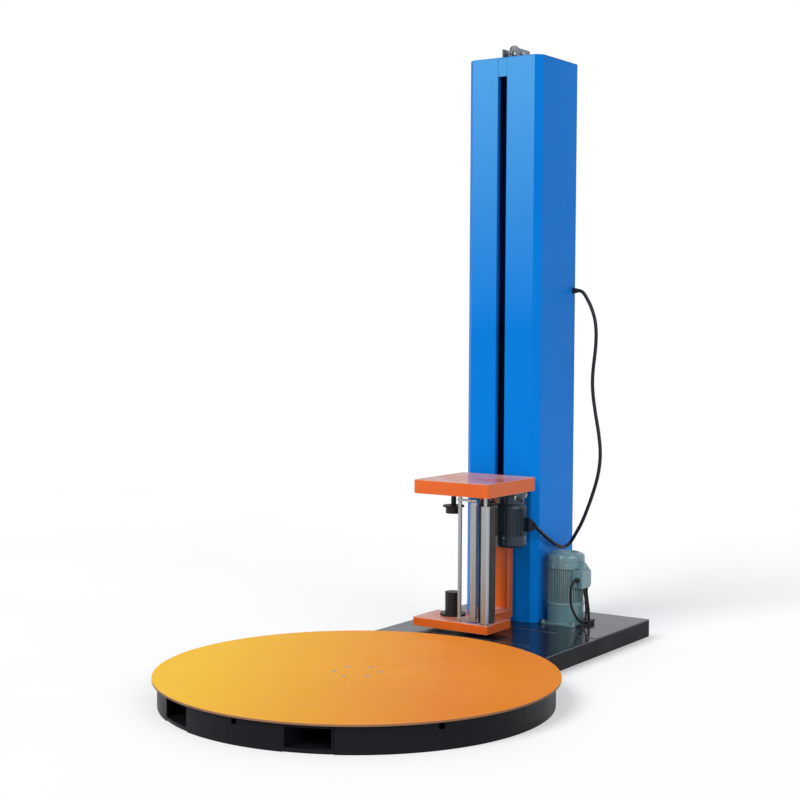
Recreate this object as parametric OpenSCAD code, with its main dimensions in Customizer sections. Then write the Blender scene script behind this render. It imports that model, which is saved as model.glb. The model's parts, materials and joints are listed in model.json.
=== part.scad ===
// Turntable pallet wrapper: a turning load table, a slotted mast and a film carriage that climbs the mast.
// Millimetres, +Z up. The origin is the table's turning axis at floor level. The mast stands towards +Y.

/* [Turntable] */
// Diameter of the turning load table
table_d = 1650; // [1600:10:1700]
// Thickness of the table plate
table_t = 8; // [6:1:10]
// Height of the load surface above the floor
table_top = 115; // [112:1:118]
// Outer diameter of the skirt under the table
skirt_d = 1606; // [1590:2:1606]
// Height of the skirt
skirt_h = 98; // [90:1:99]
// Diameter of the rollers that carry the table
roller_d = 60; // [50:1:60]
// Radius of the circle that the rollers stand on
roller_ring_r = 640; // [600:5:660]

/* [Base] */
// Half width of the deck that carries the mast
deck_half_w = 465; // [440:5:480]
// Rear edge of the deck
deck_rear_y = 1772; // [1768:1:1800]
// Seam between the drive covers and the mast plate
deck_seam_y = 1213; // [1200:1:1230]
// Height of the mast plate
deck_h = 100; // [98:1:104]
// Distance of each fork pocket from the centre line
pocket_x = 312; // [310:1:330]
// Clear width of a fork pocket
pocket_w = 162; // [150:2:162]

/* [Mast] */
// Centre line of the mast and of the film carriage
mast_x = -130; // [-140:1:-120]
// Width of the mast
mast_w = 400; // [380:5:410]
// Front face of the mast
mast_front_y = 1350; // [1345:1:1355]
// Rear face of the mast
mast_rear_y = 1720; // [1710:1:1725]
// Top of the mast
mast_top_z = 2790; // [2750:10:2800]
// Width of the slot that the carriage runs in
slot_w = 50; // [48:1:54]
// How far the slot lies to the left of the mast's centre line
slot_shift = 5; // [0:1:5]
// Upper end of the slot
slot_top_z = 2700; // [2680:5:2710]
// Size of the slanted front corners
mast_chamfer = 31; // [20:1:50]
// Sheet thickness of the mast
sheet_t = 3; // [2:0.5:4]

/* [Film carriage] */
// Front of the carriage
carriage_front_y = 900; // [890:5:905]
// Rear of the carriage, against the mast
carriage_rear_y = 1340; // [1338:1:1340]
// Underside of the gear case
case_z = 739; // [735:1:745]
// Height of the gear case
case_h = 63; // [60:1:70]
// Underside of the lower tray
tray_z = 120; // [116:1:130]
// Height of the lower tray
tray_h = 40; // [36:1:44]
// Diameter of the rubber stretch rollers
stretch_roller_d = 76; // [70:1:78]
// Diameter of the spindle that holds the film core
spindle_d = 74; // [70:1:75]

/* [Drives] */
// Pitch of the table's drive chain
table_chain_pitch = 19.05; // [15.875,19.05]
// Teeth on the table's sprocket
table_teeth = 70; // [66:2:70]
// Teeth on the table motor's sprocket
motor_teeth = 14; // [13:1:16]
// Teeth on the lift chain's two sprockets
lift_teeth = 16; // [15:1:17]
// Gear module in the carriage
gear_module = 3; // [2.9:0.05:3]
// Teeth on the stretch motor's pinion
pinion_teeth = 25; // [25:1:25]
// Teeth on the slow stretch roller's gear
slow_teeth = 61; // [61:1:61]
// Teeth on the fast stretch roller's gear
fast_teeth = 21; // [21:1:21]

/* [Hidden] */
$fn = 64;

// Colours
black_paint = [0.11, 0.12, 0.14];
table_orange = [0.94, 0.60, 0.24];
mast_blue = [0.12, 0.50, 0.86];
carriage_orange = [0.82, 0.44, 0.20];
motor_green = [0.36, 0.46, 0.48];
bare_steel = [0.66, 0.68, 0.70];
black_nylon = [0.06, 0.06, 0.07];
roller_rubber = [0.16, 0.16, 0.17];

// Clearances
run_gap = 0.05;      // a shaft in its hole
seam_gap = 0.1;      // two welded or bolted pieces that lie against each other
air_gap = 0.3;       // a moving piece beside a fixed one

// Turntable
table_bottom = table_top - table_t;
skirt_t = 5;
floor_t = 6;
ring_floor_end_y = 760;
ring_end_y = 639.5;
table_chain_z = 56;
table_sprocket_t = 11;
hub_r = 52;
hub_bore_r = 30;
hub_flange_r = 120;
hub_bolt_pcd = 190;
hub_bolt_r = 6;
hub_head_r = 10;
roller_angles = [-90, 90, 180, 0];      // direction of each support roller's axle: front, rear, left, right
roller_axis_z = table_bottom - roller_d / 2;
roller_w = 30;
roller_axle_r = 8;

// Base
rail_t = 6;
rail_low_z = 16;        // the deck hangs clear of the floor, on pads
rear_floor_y = 700;
pad_r = 25;
cover_t = 4;
cover_z = deck_h - 6;
mast_plate_t = 6;
access_half_w = 293;
access_rear_y = 905;
cover_gap = 2.5;
pocket_t = 5;
pocket_rear_y = 400;
pocket_z = 17;
pocket_h = skirt_h - pocket_z - pocket_t;

// Table drive motor
motor_at = [172, 1465];
motor_r = 88;
motor_flange_z = deck_h;
motor_flange_t = 9;
motor_flange_half = 94;
motor_housing_top = 201;
motor_fins_top = 368;
motor_shaft_r = 14;
motor_bolt_half = 80;
terminal_low = [238, 1407, 282];
terminal_high = [290, 1494, 366];
duct_low = [268, 1395, deck_h];
duct_high = [292, 1531, deck_h + 8];
junction_low = [268, 1462, deck_h + 8 + seam_gap];
junction_high = [294, 1531, deck_h + 20];

// Mast
mast_x0 = mast_x - mast_w / 2;
mast_x1 = mast_x + mast_w / 2;
rear_flange = 40;
slot_flange = 25;
top_plate_t = 4;
gland_at = [mast_x1, 1700, 1690];

// Lift
lift_pitch = 15.875;
lift_sprocket_t = 9;
lift_r = lift_pitch / (2 * sin(180 / lift_teeth));
lift_y = 1457;
head_z = mast_top_z + 24;
foot_z = 270;
lift_axle_r = 10;
cheek_t = 6;
cheek_offset = 36;

// Carriage
case_t = 3;
bearing_plate_t = 6;
case_top = case_z + case_h;
column_half_w = 80;
column_depth = 40;
tray_top = tray_z + tray_h;
tray_rear_y = 1118;
stretch_motor_at = [12, 1209];
stretch_motor_r = 74;
stretch_fins_z = 538;
stretch_fins_top = case_z - 70;
stretch_gearbox_r = 65;
stretch_gearbox_low = case_z - 51;
stretch_flange_half = 60;
stretch_bolt_half = 51;
slow_line = -115.7;     // direction from the pinion to the slow roller
fast_line = -60.3;      // direction from the slow roller to the fast one
slow_at = stretch_motor_at + gear_module * (pinion_teeth + slow_teeth) / 2 * [cos(slow_line), sin(slow_line)];
fast_at = slow_at + gear_module * (slow_teeth + fast_teeth) / 2 * [cos(fast_line), sin(fast_line)];
inlet_at = [-100, 1210];
outlet_at = [45, 924];
spindle_at = [-204, 1050];
dancer_pivot_at = [-90, 925];
dancer_roller_at = [-15, 925];
film_low_z = tray_top + 10;
film_high_z = film_low_z + 500;
roller_low_z = tray_top + 6;
roller_high_z = film_high_z + 30;
shaft_r = 10;
idle_shaft_r = 8;
dancer_shaft_r = 9;
holder_rod_r = 12;
journal = 4;            // how deep a roller's shaft sits in the tray and in the bearing plate
gear_z = case_z + 16;
gear_t = 15;
slow_step = 360 / slow_teeth;
fast_step = 360 / fast_teeth;
pinion_phase = slow_line;
slow_phase = slow_line + 180 + slow_step / 2;
fast_phase = fast_line + 180 + ((fast_line - slow_phase) / slow_step - 0.5) * fast_step;
trolley_plate_in = 12;
trolley_plate_out = 18;
trolley_z = 580;
trolley_h = 200;

// Door at the rear of the mast
door_x0 = mast_x - 184;
door_x1 = mast_x + 184;
door_z0 = 1026;
door_z1 = 1584;
door_front_y = mast_rear_y + 1.5;
door_rear_y = door_front_y + 20;
hinge_at = [door_x0 - 8, mast_rear_y + 9];
hinge_z = [door_z0 + 60, door_z1 - 120];
hinge_h = 30;
estop_at = [mast_x + 110, 1500];
start_at = [mast_x - 60, 1500];
stop_at = [mast_x + 10, 1500];
switch_at = [mast_x + 100, 1390];

// Routes of the free cables, from the end at the machine's fixed part
carriage_cable_r = 8.5;
carriage_cable_route = [[95, 1700, 1690], [104, 1700, 1690], [126, 1698, 1680], [150, 1694, 1650],
    [181, 1688, 1596], [205, 1680, 1523], [211, 1672, 1427], [202, 1662, 1290], [206, 1656, 1200],
    [223, 1650, 1105], [247, 1644, 993], [259, 1638, 897], [251, 1632, 800], [221, 1626, 690],
    [179, 1622, 580], [142, 1620, 510], [112, 1618, 462], [100, 1595, 445], [98, 1555, 447],
    [98, 1490, 468], [98, 1400, 512], [98, 1306, 566], [98, 1292, 574]];
motor_cable_r = 6;
motor_cable_front_route = [[265, 1383, 321], [264, 1374, 319.5], [259, 1368, 310], [254, 1363, 285],
    [253, 1360, 240], [257, 1361, 203], [267, 1366, 174], [277, 1378, 148], [284, 1402, 126],
    [286, 1430, 121], [285, 1452, 135], [283, 1462, 162], [280, 1462, 215], [274, 1456, 268]];
motor_cable_rear_route = [[274, 1482, 268], [274, 1482, 254], [278, 1484, 216], [282, 1486, 180],
    [284, 1487, 150], [284, 1487, 131], [284, 1487, 120.2]];

// ---------- helpers ----------

// A block between two opposite corners
module block(low, high) {
    translate(low) cube(high - low);
}

// An upright round bar between two heights
module post(at, r, z0, z1) {
    translate([at.x, at.y, z0]) cylinder(r = r, h = z1 - z0);
}

// A round bar along X between two places
module bar_x(y, z, r, x0, x1) {
    translate([x0, y, z]) rotate([0, 90, 0]) cylinder(r = r, h = x1 - x0);
}

// A round bar along Y between two places
module bar_y(x, z, r, y0, y1) {
    translate([x, y0, z]) rotate([-90, 0, 0]) cylinder(r = r, h = y1 - y0);
}

function unit(v) = v / norm(v);
function left_of(v) = [-v.y, v.x];
function offset_point(p, i, t) =
    i == 0 ? p[0] + t * left_of(unit(p[1] - p[0]))
    : i == len(p) - 1 ? p[i] + t * left_of(unit(p[i] - p[i - 1]))
    : let (a = left_of(unit(p[i] - p[i - 1])), b = left_of(unit(p[i + 1] - p[i])), m = unit(a + b))
      p[i] + m * t / (m * a);

// A folded sheet's cross-section: the line p, made t thick towards its left
module folded(p, t) {
    polygon(concat(p, [for (i = [len(p) - 1:-1:0]) offset_point(p, i, t)]));
}

// An upright folded sheet
module folded_wall(p, t, z0, z1) {
    translate([0, 0, z0]) linear_extrude(z1 - z0) folded(p, t);
}

// A rectangle with rounded corners
module rounded_square(low, high, r) {
    union() {
        translate([low.x + r, low.y]) square([high.x - low.x - 2 * r, high.y - low.y]);
        translate([low.x, low.y + r]) square([high.x - low.x, high.y - low.y - 2 * r]);
        for (x = [low.x + r, high.x - r], y = [low.y + r, high.y - r]) translate([x, y]) circle(r);
    }
}

// A hexagon-headed bolt on its washer, pointing down, with its seat at the origin
module hex_bolt(r) {
    cylinder(r = 2.1 * r, h = 0.4 * r);
    translate([0, 0, 0.4 * r]) cylinder(r = 1.8 * r, h = 1.3 * r, $fn = 6);
}

// A nut on its washer, with the end of its stud standing out of it
module stud(r, h) {
    hex_bolt(r);
    cylinder(r = r, h = h);
}

// Outline of a spur gear with plain-sided teeth
module gear_outline(teeth, phase) {
    pitch_r = gear_module * teeth / 2;
    step = 360 / teeth;
    outer_r = pitch_r + 0.95 * gear_module;
    root_r = pitch_r - 1.25 * gear_module;
    tip_a = 0.36 * gear_module / outer_r * 180 / PI;
    foot_a = 1.08 * gear_module / root_r * 180 / PI;
    polygon([for (i = [0:teeth - 1], p = [[root_r, -foot_a], [outer_r, -tip_a], [outer_r, tip_a], [root_r, foot_a]])
        let (a = phase + i * step + p[1]) p[0] * [cos(a), sin(a)]]);
}

// Outline of a roller-chain sprocket
module sprocket_outline(teeth, pitch, roller_r) {
    pitch_r = pitch / (2 * sin(180 / teeth));
    root_r = pitch_r - roller_r;
    tip_r = pitch_r + 0.27 * pitch;
    step = 360 / teeth;
    tip_a = 0.07 * pitch / tip_r * 180 / PI;
    foot_a = 0.24 * pitch / root_r * 180 / PI;
    polygon([for (i = [0:teeth - 1], p = [[root_r, -foot_a], [tip_r, -tip_a], [tip_r, tip_a], [root_r, foot_a]])
        let (a = (i + 0.5) * step + p[1]) p[0] * [cos(a), sin(a)]]);
}

function pitch_radius(teeth, pitch) = pitch / (2 * sin(180 / teeth));

// Points of the line that a chain follows round two sprockets, moved outwards by off
function belt(c1, r1, c2, r2, off, n) =
    let (v = c2 - c1, turn = atan2(v.y, v.x), a = acos((r1 - r2) / norm(v)))
    concat(
        [for (i = [0:n]) let (t = turn + a + i * (360 - 2 * a) / n) c1 + (r1 + off) * [cos(t), sin(t)]],
        [for (i = [0:n]) let (t = turn - a + i * 2 * a / n) c2 + (r2 + off) * [cos(t), sin(t)]]);

// A chain as its two rows of side plates and the pins of its straight runs
module chain(c1, r1, c2, r2, inner_w, pin_step, skip = [-1, -1]) {
    plate_t = 1.5;
    v = c2 - c1;
    turn = atan2(v.y, v.x);
    a = acos((r1 - r2) / norm(v));
    run = sqrt(norm(v) * norm(v) - (r1 - r2) * (r1 - r2));
    pins = floor(run / pin_step);
    for (side = [0, 1]) mirror([0, 0, side]) translate([0, 0, inner_w / 2]) linear_extrude(plate_t)
        difference() {
            polygon(belt(c1, r1, c2, r2, 6, 24));
            polygon(belt(c1, r1, c2, r2, -6, 24));
        }
    for (s = [-1, 1], i = [2:pins - 2])
        let (start = c1 + r1 * [cos(turn + s * a), sin(turn + s * a)],
             end = c2 + r2 * [cos(turn + s * a), sin(turn + s * a)],
             p = start + (end - start) * i / pins)
        if (s < 0 || p.x < skip[0] || p.x > skip[1])
            translate([p.x, p.y, -inner_w / 2 - 0.5]) cylinder(r = 3, h = inner_w + 1, $fn = 16);
}

// Points of a smooth line through the route's own points, and the line's direction there
function spline(p0, p1, p2, p3, t) =
    0.5 * (2 * p1 + (p2 - p0) * t + (2 * p0 - 5 * p1 + 4 * p2 - p3) * t * t
        + (3 * p1 - p0 - 3 * p2 + p3) * t * t * t);
function smooth_route(p, per) = let (n = len(p) - 1) concat(
    [for (i = [0:n - 1], k = [0:per - 1])
        spline(p[max(i - 1, 0)], p[i], p[i + 1], p[min(i + 2, n)], k / per)],
    [p[n]]);
function heading(p, i) = unit(p[min(i + 1, len(p) - 1)] - p[max(i - 1, 0)]);

// A round cable swept along a route
module cable(route, r, per, sides) {
    path = smooth_route(route, per);
    n = len(path);
    up = [1, -1, 0.6];
    last = len(route) - 1;
    rings = [for (i = [0:n - 1])
        let (d = i == 0 ? unit(route[1] - route[0]) : i == n - 1 ? unit(route[last] - route[last - 1])
            : heading(path, i), u = unit(cross(d, up)), w = cross(d, u))
        for (k = [0:sides - 1]) path[i] + r * (u * cos(k * 360 / sides) + w * sin(k * 360 / sides))];
    sides_faces = [for (i = [0:n - 2], k = [0:sides - 1]) let (a = i * sides + k, b = i * sides + (k + 1) % sides)
        [a, b, b + sides, a + sides]];
    caps = [[for (k = [sides - 1:-1:0]) k], [for (k = [0:sides - 1]) (n - 1) * sides + k]];
    polyhedron(rings, concat(sides_faces, caps), convexity = 8);
}

// ---------- base ----------

module floor_plates() {
    inner = deck_half_w - rail_t - seam_gap;
    color(black_paint) {
        intersection() {
            cylinder(r = skirt_d / 2 - skirt_t - 0.5, h = floor_t, $fn = 128);
            block([-table_d, -table_d, 0], [table_d, ring_floor_end_y, floor_t]);
        }
        block([-inner, rear_floor_y, rail_low_z], [inner, deck_rear_y - rail_t - seam_gap, rail_low_z + floor_t]);
        block([-230, rear_floor_y + 5, floor_t + seam_gap], [230, ring_floor_end_y - 5, rail_low_z - seam_gap]);
        for (x = [-1, 1], y = [900, 1300, 1720]) post([x * (deck_half_w - 100), y], pad_r, 0, rail_low_z - seam_gap);
    }
}

// One rolled panel of the skirt, between two angles measured from the front
module skirt_panel(a0, a1) {
    rotate([0, 0, a0 - 90]) rotate_extrude(angle = a1 - a0, $fn = 128)
        translate([skirt_d / 2 - skirt_t, 0]) square([skirt_t, skirt_h]);
}

module skirt_panels() {
    outer = skirt_d / 2;
    pocket_outer = pocket_w / 2 + pocket_t + 0.5;
    near = asin((pocket_x - pocket_outer) / outer);
    far = asin((pocket_x + pocket_outer) / (outer - skirt_t));
    rear = 180 - asin((deck_half_w + 3.5) / outer);
    side = (rear - far) / 4;
    seam = 0.06;
    color(black_paint) difference() {
        union() {
            skirt_panel(-near, -seam);
            skirt_panel(seam, near);
            for (s = [0, 1], i = [0:3]) mirror([s, 0, 0])
                skirt_panel(far + i * side + (i > 0 ? seam : 0), far + (i + 1) * side - seam);
        }
        for (a = [-118, -58, 2, 58, 118]) rotate([0, 0, a - 90])
            block([outer - 12, -12, skirt_h - 21], [outer + 2, 12, skirt_h + 1]);
    }
}

// Two open-ended channels for a truck's forks, welded from flat bar
module fork_pockets() {
    half = pocket_w / 2;
    top = pocket_z + pocket_h;
    color(black_paint) intersection() {
        cylinder(r = skirt_d / 2, h = skirt_h, $fn = 128);
        union() for (s = [-1, 1]) translate([s * pocket_x, 0, 0]) {
            for (w = [-1, 1]) block([w * half + (w < 0 ? -pocket_t : 0), -skirt_d / 2, floor_t + seam_gap],
                [w * half + (w < 0 ? 0 : pocket_t), pocket_rear_y, top]);
            block([-half - pocket_t, -skirt_d / 2, top + seam_gap], [half + pocket_t, pocket_rear_y, top + pocket_t]);
            block([-half + seam_gap, -skirt_d / 2, floor_t + seam_gap], [half - seam_gap, pocket_rear_y, pocket_z]);
        }
    }
}

module deck_frame() {
    inner = deck_half_w - rail_t;
    color(black_paint) {
        for (s = [0, 1]) mirror([s, 0, 0]) {
            block([inner, ring_end_y + seam_gap, rail_low_z], [deck_half_w, deck_seam_y, cover_z]);
            block([inner, deck_seam_y + seam_gap, rail_low_z], [deck_half_w, deck_rear_y, deck_h - mast_plate_t]);
        }
        block([-inner + seam_gap, deck_rear_y - rail_t, rail_low_z], [inner - seam_gap, deck_rear_y, deck_h - mast_plate_t]);
        for (y = [access_rear_y - 8, deck_seam_y - 10])
            block([-inner + seam_gap, y, cover_z - 18], [inner - seam_gap, y + 16, cover_z]);
        for (x = [mast_x0 + 30, mast_x1 - 30])
            block([x - 4, deck_seam_y + 40, rail_low_z + floor_t + seam_gap], [x + 4, deck_rear_y - 20, deck_h - mast_plate_t]);
    }
}

module mast_base_plate() {
    color(black_paint) difference() {
        block([-deck_half_w, deck_seam_y + seam_gap, deck_h - mast_plate_t], [deck_half_w, deck_rear_y, deck_h]);
        post(motor_at, 60, deck_h - 20, deck_h + 1);
    }
}

// The cover over the chain channel and the access plate in front of it
module deck_covers() {
    color(black_paint) difference() {
        union() {
            difference() {
                block([-deck_half_w, 600, cover_z], [deck_half_w, deck_seam_y, cover_z + cover_t]);
                block([-access_half_w, 500, cover_z - 1], [access_half_w, access_rear_y, cover_z + cover_t + 1]);
            }
            block([-access_half_w + cover_gap, 600, cover_z], [access_half_w - cover_gap, access_rear_y - cover_gap, cover_z + cover_t]);
        }
        translate([0, 0, cover_z - 1]) cylinder(r = skirt_d / 2 + 2, h = cover_t + 2, $fn = 128);
    }
}

module centre_spindle() {
    color(bare_steel) {
        post([0, 0], 110, floor_t, floor_t + 10);
        post([0, 0], hub_bore_r, floor_t + 10, table_bottom - air_gap - 4);
    }
}

module roller_brackets() {
    near = roller_ring_r - roller_w / 2 - 8;
    far = roller_ring_r + roller_w / 2 + 8;
    color(bare_steel) for (a = roller_angles) rotate([0, 0, a]) {
        difference() {
            for (x = [near, far - 6])
                block([x, -20, floor_t], [x + 6, 20, roller_axis_z + 16]);
            bar_x(0, roller_axis_z, roller_axle_r + run_gap, near - 1, far + 1);
        }
        bar_x(0, roller_axis_z, roller_axle_r, near - 6, far + 6);
    }
}

module support_roller(a) {
    color(bare_steel) rotate([0, 0, a]) difference() {
        bar_x(0, roller_axis_z, roller_d / 2 - air_gap, roller_ring_r - roller_w / 2, roller_ring_r + roller_w / 2);
        bar_x(0, roller_axis_z, roller_axle_r + run_gap, roller_ring_r - roller_w, roller_ring_r + roller_w);
    }
}

module table_chain() {
    color(bare_steel) translate([0, 0, table_chain_z])
        chain([0, 0], pitch_radius(table_teeth, table_chain_pitch), motor_at,
            pitch_radius(motor_teeth, table_chain_pitch), table_sprocket_t + 0.8, 3 * table_chain_pitch);
}

// ---------- table drive ----------

module table_gearbox() {
    top = motor_flange_z + motor_flange_t;
    color(motor_green) difference() {
        union() {
            translate([0, 0, motor_flange_z]) linear_extrude(motor_flange_t)
                rounded_square(motor_at - motor_flange_half * [1, 1], motor_at + motor_flange_half * [1, 1], 20);
            post(motor_at, 58, motor_flange_z - 18, motor_flange_z);
            post(motor_at, motor_r, top, motor_housing_top);
            post(motor_at, motor_r + 2, motor_housing_top - 7, motor_housing_top - 1);
        }
        post(motor_at, motor_shaft_r + run_gap, motor_flange_z - 30, motor_flange_z + 11);
    }
}

// The finned body, drawn as one outline, with the fan cover on top of it
module table_motor() {
    fins = 54;
    color(motor_green) {
        difference() {
            translate([motor_at.x, motor_at.y, motor_housing_top + seam_gap]) {
                finned_body(motor_r - 4, motor_r - 11, fins, motor_fins_top - motor_housing_top - seam_gap);
                cylinder(r = motor_r - 1, h = 6);
            }
            block(terminal_low - [air_gap, air_gap, air_gap], terminal_high + [air_gap, air_gap, air_gap]);
        }
        translate([motor_at.x, motor_at.y, motor_fins_top + seam_gap]) fan_cover(motor_r + 1, 71);
    }
}

// A motor casing with straight cooling fins all round
module finned_body(outer, root, fins, h) {
    step = 360 / fins;
    linear_extrude(h) polygon([for (i = [0:fins - 1],
        p = [[root, -0.28], [outer, -0.16], [outer, 0.16], [root, 0.28]])
        let (a = (i + p[1]) * step) p[0] * [cos(a), sin(a)]]);
}

// A domed fan cover with a rolled bead
module fan_cover(r, h) {
    rotate_extrude() polygon([[0, 0], [r, 0], [r, 0.46 * h], [r - 1.5, 0.48 * h], [r - 1.5, 0.52 * h], [r, 0.54 * h],
        [r, 0.74 * h], [r - 3, 0.87 * h], [r - 10, 0.96 * h], [r - 22, h], [0, h]]);
}

// The terminal box on the motor's side: its lid has cut corners, and a sloped roof runs back from its top
module table_terminal_box() {
    low = terminal_low;
    high = terminal_high;
    lid_x = high.x - 6;
    color(motor_green) {
        block(low, [lid_x, high.y, high.z]);
        difference() {
            translate([250, 0, high.z]) rotate([90, 0, 90]) linear_extrude(30)
                polygon([[1438, 0], [1446, 29], [1458, 33], [high.y, 3], [high.y, 0]]);
            post(motor_at, motor_r + 1 + air_gap, high.z - 1, high.z + 40);
        }
        translate([lid_x + seam_gap, 0, 0]) rotate([90, 0, 90]) linear_extrude(6 - seam_gap)
            polygon([[low.y - 1, low.z - 1], [high.y - 10, low.z - 1], [high.y + 2, low.z + 12],
                [high.y + 2, high.z - 10], [high.y - 6, high.z - 2], [low.y + 4, high.z + 3], [low.y - 1, high.z]]);
    }
}

module motor_sprocket() {
    at = [motor_at.x, motor_at.y, table_chain_z - table_sprocket_t / 2];
    color(bare_steel) {
        translate(at) linear_extrude(table_sprocket_t) sprocket_outline(motor_teeth, table_chain_pitch, 6);
        post(motor_at, 28, at.z + table_sprocket_t, at.z + table_sprocket_t + 14);
        post(motor_at, motor_shaft_r, at.z - 8, motor_flange_z + 10);
    }
}

// Every gland, the duct and junction block that take the motor's cables, and the supply inlet
module cable_glands() {
    box_gland = [motor_cable_front_route[0].x, terminal_low.y, motor_cable_front_route[0].z];
    last = len(motor_cable_front_route) - 1;
    color(black_nylon) {
        translate(gland_at) rotate([0, 90, 0]) gland(15, carriage_cable_route[0].x - gland_at.x, carriage_cable_r);
        translate(box_gland) rotate([90, 0, 0])
            gland(12, box_gland.y - motor_cable_front_route[0].y, motor_cable_r);
        for (at = [motor_cable_rear_route[0], motor_cable_front_route[last]])
            translate([at.x, at.y, terminal_low.z]) rotate([180, 0, 0]) gland(9, terminal_low.z - at.z, motor_cable_r);
        translate([mast_x0 + 60, mast_rear_y + 6.1, 200]) rotate([-90, 0, 0]) gland(15, 24, 6);
        block(duct_low, duct_high);
        block(junction_low, junction_high);
    }
}

// A cable gland of length h: a hexagon on its seat and a domed nut that closes on the cable
module gland(r, h, cable_r) {
    cylinder(r = r, h = 0.35 * h, $fn = 6);
    rotate_extrude($fn = 32) polygon([[0, 0.35 * h], [0.84 * r, 0.35 * h], [0.84 * r, 0.8 * h],
        [cable_r + 1, h], [0, h]]);
}

module motor_cable_front() {
    color(black_nylon) cable(motor_cable_front_route, motor_cable_r, 2, 8);
}

module motor_cable_rear() {
    color(black_nylon) cable(motor_cable_rear_route, motor_cable_r, 1, 8);
}

module base_fasteners() {
    seat = motor_flange_z + motor_flange_t;
    color(bare_steel) {
        for (x = [-1, 1], y = [-1, 1])
            translate([motor_at.x + x * motor_bolt_half, motor_at.y + y * motor_bolt_half, seat]) hex_bolt(6);
        for (x = [mast_x0 + 25, mast_x1 - 25], z = [130, 500, 1000, 1620, 2160, 2760])
            translate([x, mast_rear_y + 6, z]) rotate([-90, 0, 0]) cylinder(r1 = 6, r2 = 4.5, h = 2.5, $fn = 24);
        for (z = hinge_z) {
            post(hinge_at, 3, z - 14, z + hinge_h + 14);
            for (low = [z - 15, z + hinge_h + air_gap]) difference() {
                translate([0, 0, low]) linear_extrude(15 - air_gap) union() {
                    translate(hinge_at) circle(6);
                    translate([hinge_at.x - 3, mast_rear_y + seam_gap]) square([6, hinge_at.y - mast_rear_y]);
                }
                post(hinge_at, 3 + run_gap, low - 1, low + 16);
            }
        }
    }
}

// ---------- mast ----------

// Front, side and rear of one half of the mast, folded from one sheet
module mast_shell(slot, cable_hole) {
    half = mast_w / 2;
    line = [[slot, mast_front_y + slot_flange], [slot, mast_front_y], [half - mast_chamfer, mast_front_y],
        [half, mast_front_y + mast_chamfer], [half, mast_rear_y], [half - rear_flange, mast_rear_y]];
    translate([mast_x, 0, 0]) difference() {
        folded_wall(line, sheet_t, deck_h, mast_top_z - top_plate_t);
        if (cable_hole) bar_x(gland_at.y, gland_at.z, 9, half - 10, half + 10);
    }
}

module mast_right_shell() {
    color(mast_blue) mast_shell(slot_w / 2 - slot_shift, true);
}

module mast_left_shell() {
    color(mast_blue) translate([mast_x, 0, 0]) mirror([1, 0, 0]) translate([-mast_x, 0, 0])
        mast_shell(slot_w / 2 + slot_shift, false);
}

module mast_closing_plate() {
    half = slot_w / 2 - 0.8;
    color(mast_blue) block([mast_x - slot_shift - half, mast_front_y + 0.5, slot_top_z],
        [mast_x - slot_shift + half, mast_front_y + 0.5 + sheet_t, mast_top_z - top_plate_t - seam_gap]);
}

module mast_top_plate() {
    half = mast_w / 2;
    low = mast_top_z - top_plate_t + seam_gap;
    color(mast_blue) difference() {
        translate([mast_x, 0, low]) linear_extrude(mast_top_z - low) polygon([
            [-half + mast_chamfer, mast_front_y], [half - mast_chamfer, mast_front_y],
            [half, mast_front_y + mast_chamfer], [half, mast_rear_y], [-half, mast_rear_y],
            [-half, mast_front_y + mast_chamfer]]);
        block([mast_x - 24, lift_y - 56, low - 1], [mast_x + 24, lift_y + 56, mast_top_z + 1]);
    }
}

// Two screwed panels, below and above the control door, each with its edges folded in
module mast_rear_panel() {
    half = mast_w / 2 - 14;
    seat = mast_rear_y + seam_gap;
    color(mast_blue) for (z = [[deck_h + 6, door_z0 - 6], [door_z1 + 6, mast_top_z - 6]]) difference() {
        block([mast_x - half, seat, z[0]], [mast_x + half, seat + 5.9, z[1]]);
        block([mast_x - half + 2, seat - 1, z[0] + 2], [mast_x + half - 2, seat + 3.9, z[1] - 2]);
        for (i = [0:5]) block([mast_x - 70, seat - 2, z[0] + 120 + i * 22], [mast_x + 70, seat + 8, z[0] + 128 + i * 22]);
    }
}

// Two channels that the trolley's shoes slide in, with their spacers against the mast's front
module guide_rails() {
    inside = 66;
    web = 100;
    front = mast_front_y + 30;
    rear = mast_front_y + 90;
    rail_low = foot_z + 180;
    rail_high = mast_top_z - 30;
    line = [[inside, rear], [web, rear], [web, front], [inside, front]];
    color(bare_steel) for (s = [0, 1]) translate([mast_x, 0, 0]) mirror([s, 0, 0]) {
        folded_wall([for (i = [3:-1:0]) line[i]], 4, rail_low, rail_high);
        for (z = [rail_low + 20, 1120, 1780, rail_high - 60])
            block([inside + 6, mast_front_y + sheet_t + seam_gap, z], [web - 4, front - seam_gap, z + 40]);
    }
}

module lift_gearmotor() {
    case_low = [mast_x + 24, lift_y - 52, foot_z - 60];
    case_high = [mast_x + 112, lift_y + 68, foot_z + 75];
    axis_x = (case_low.x + case_high.x) / 2;
    color(motor_green) {
        difference() {
            block(case_low, case_high);
            bar_x(lift_y, foot_z, lift_axle_r + run_gap, case_low.x - 1, case_low.x + 30);
        }
        translate([axis_x, case_high.y + seam_gap, foot_z]) rotate([-90, 0, 0]) {
            finned_body(58, 52, 36, 110);
            translate([0, 0, 110 + seam_gap]) fan_cover(59, 40);
        }
        block([case_low.x, case_low.y, deck_h + seam_gap], [case_high.x, case_high.y, deck_h + 10]);
        for (y = [case_low.y, case_high.y - 10]) block([case_low.x, y, deck_h + 10 + seam_gap],
            [case_high.x, y + 10, case_low.z - seam_gap]);
        difference() {
            block([mast_x - 42, lift_y - 30, deck_h + seam_gap], [mast_x - 34, lift_y + 30, foot_z + 30]);
            bar_x(lift_y, foot_z, lift_axle_r + run_gap, mast_x - 60, mast_x - 20);
        }
    }
}

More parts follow.
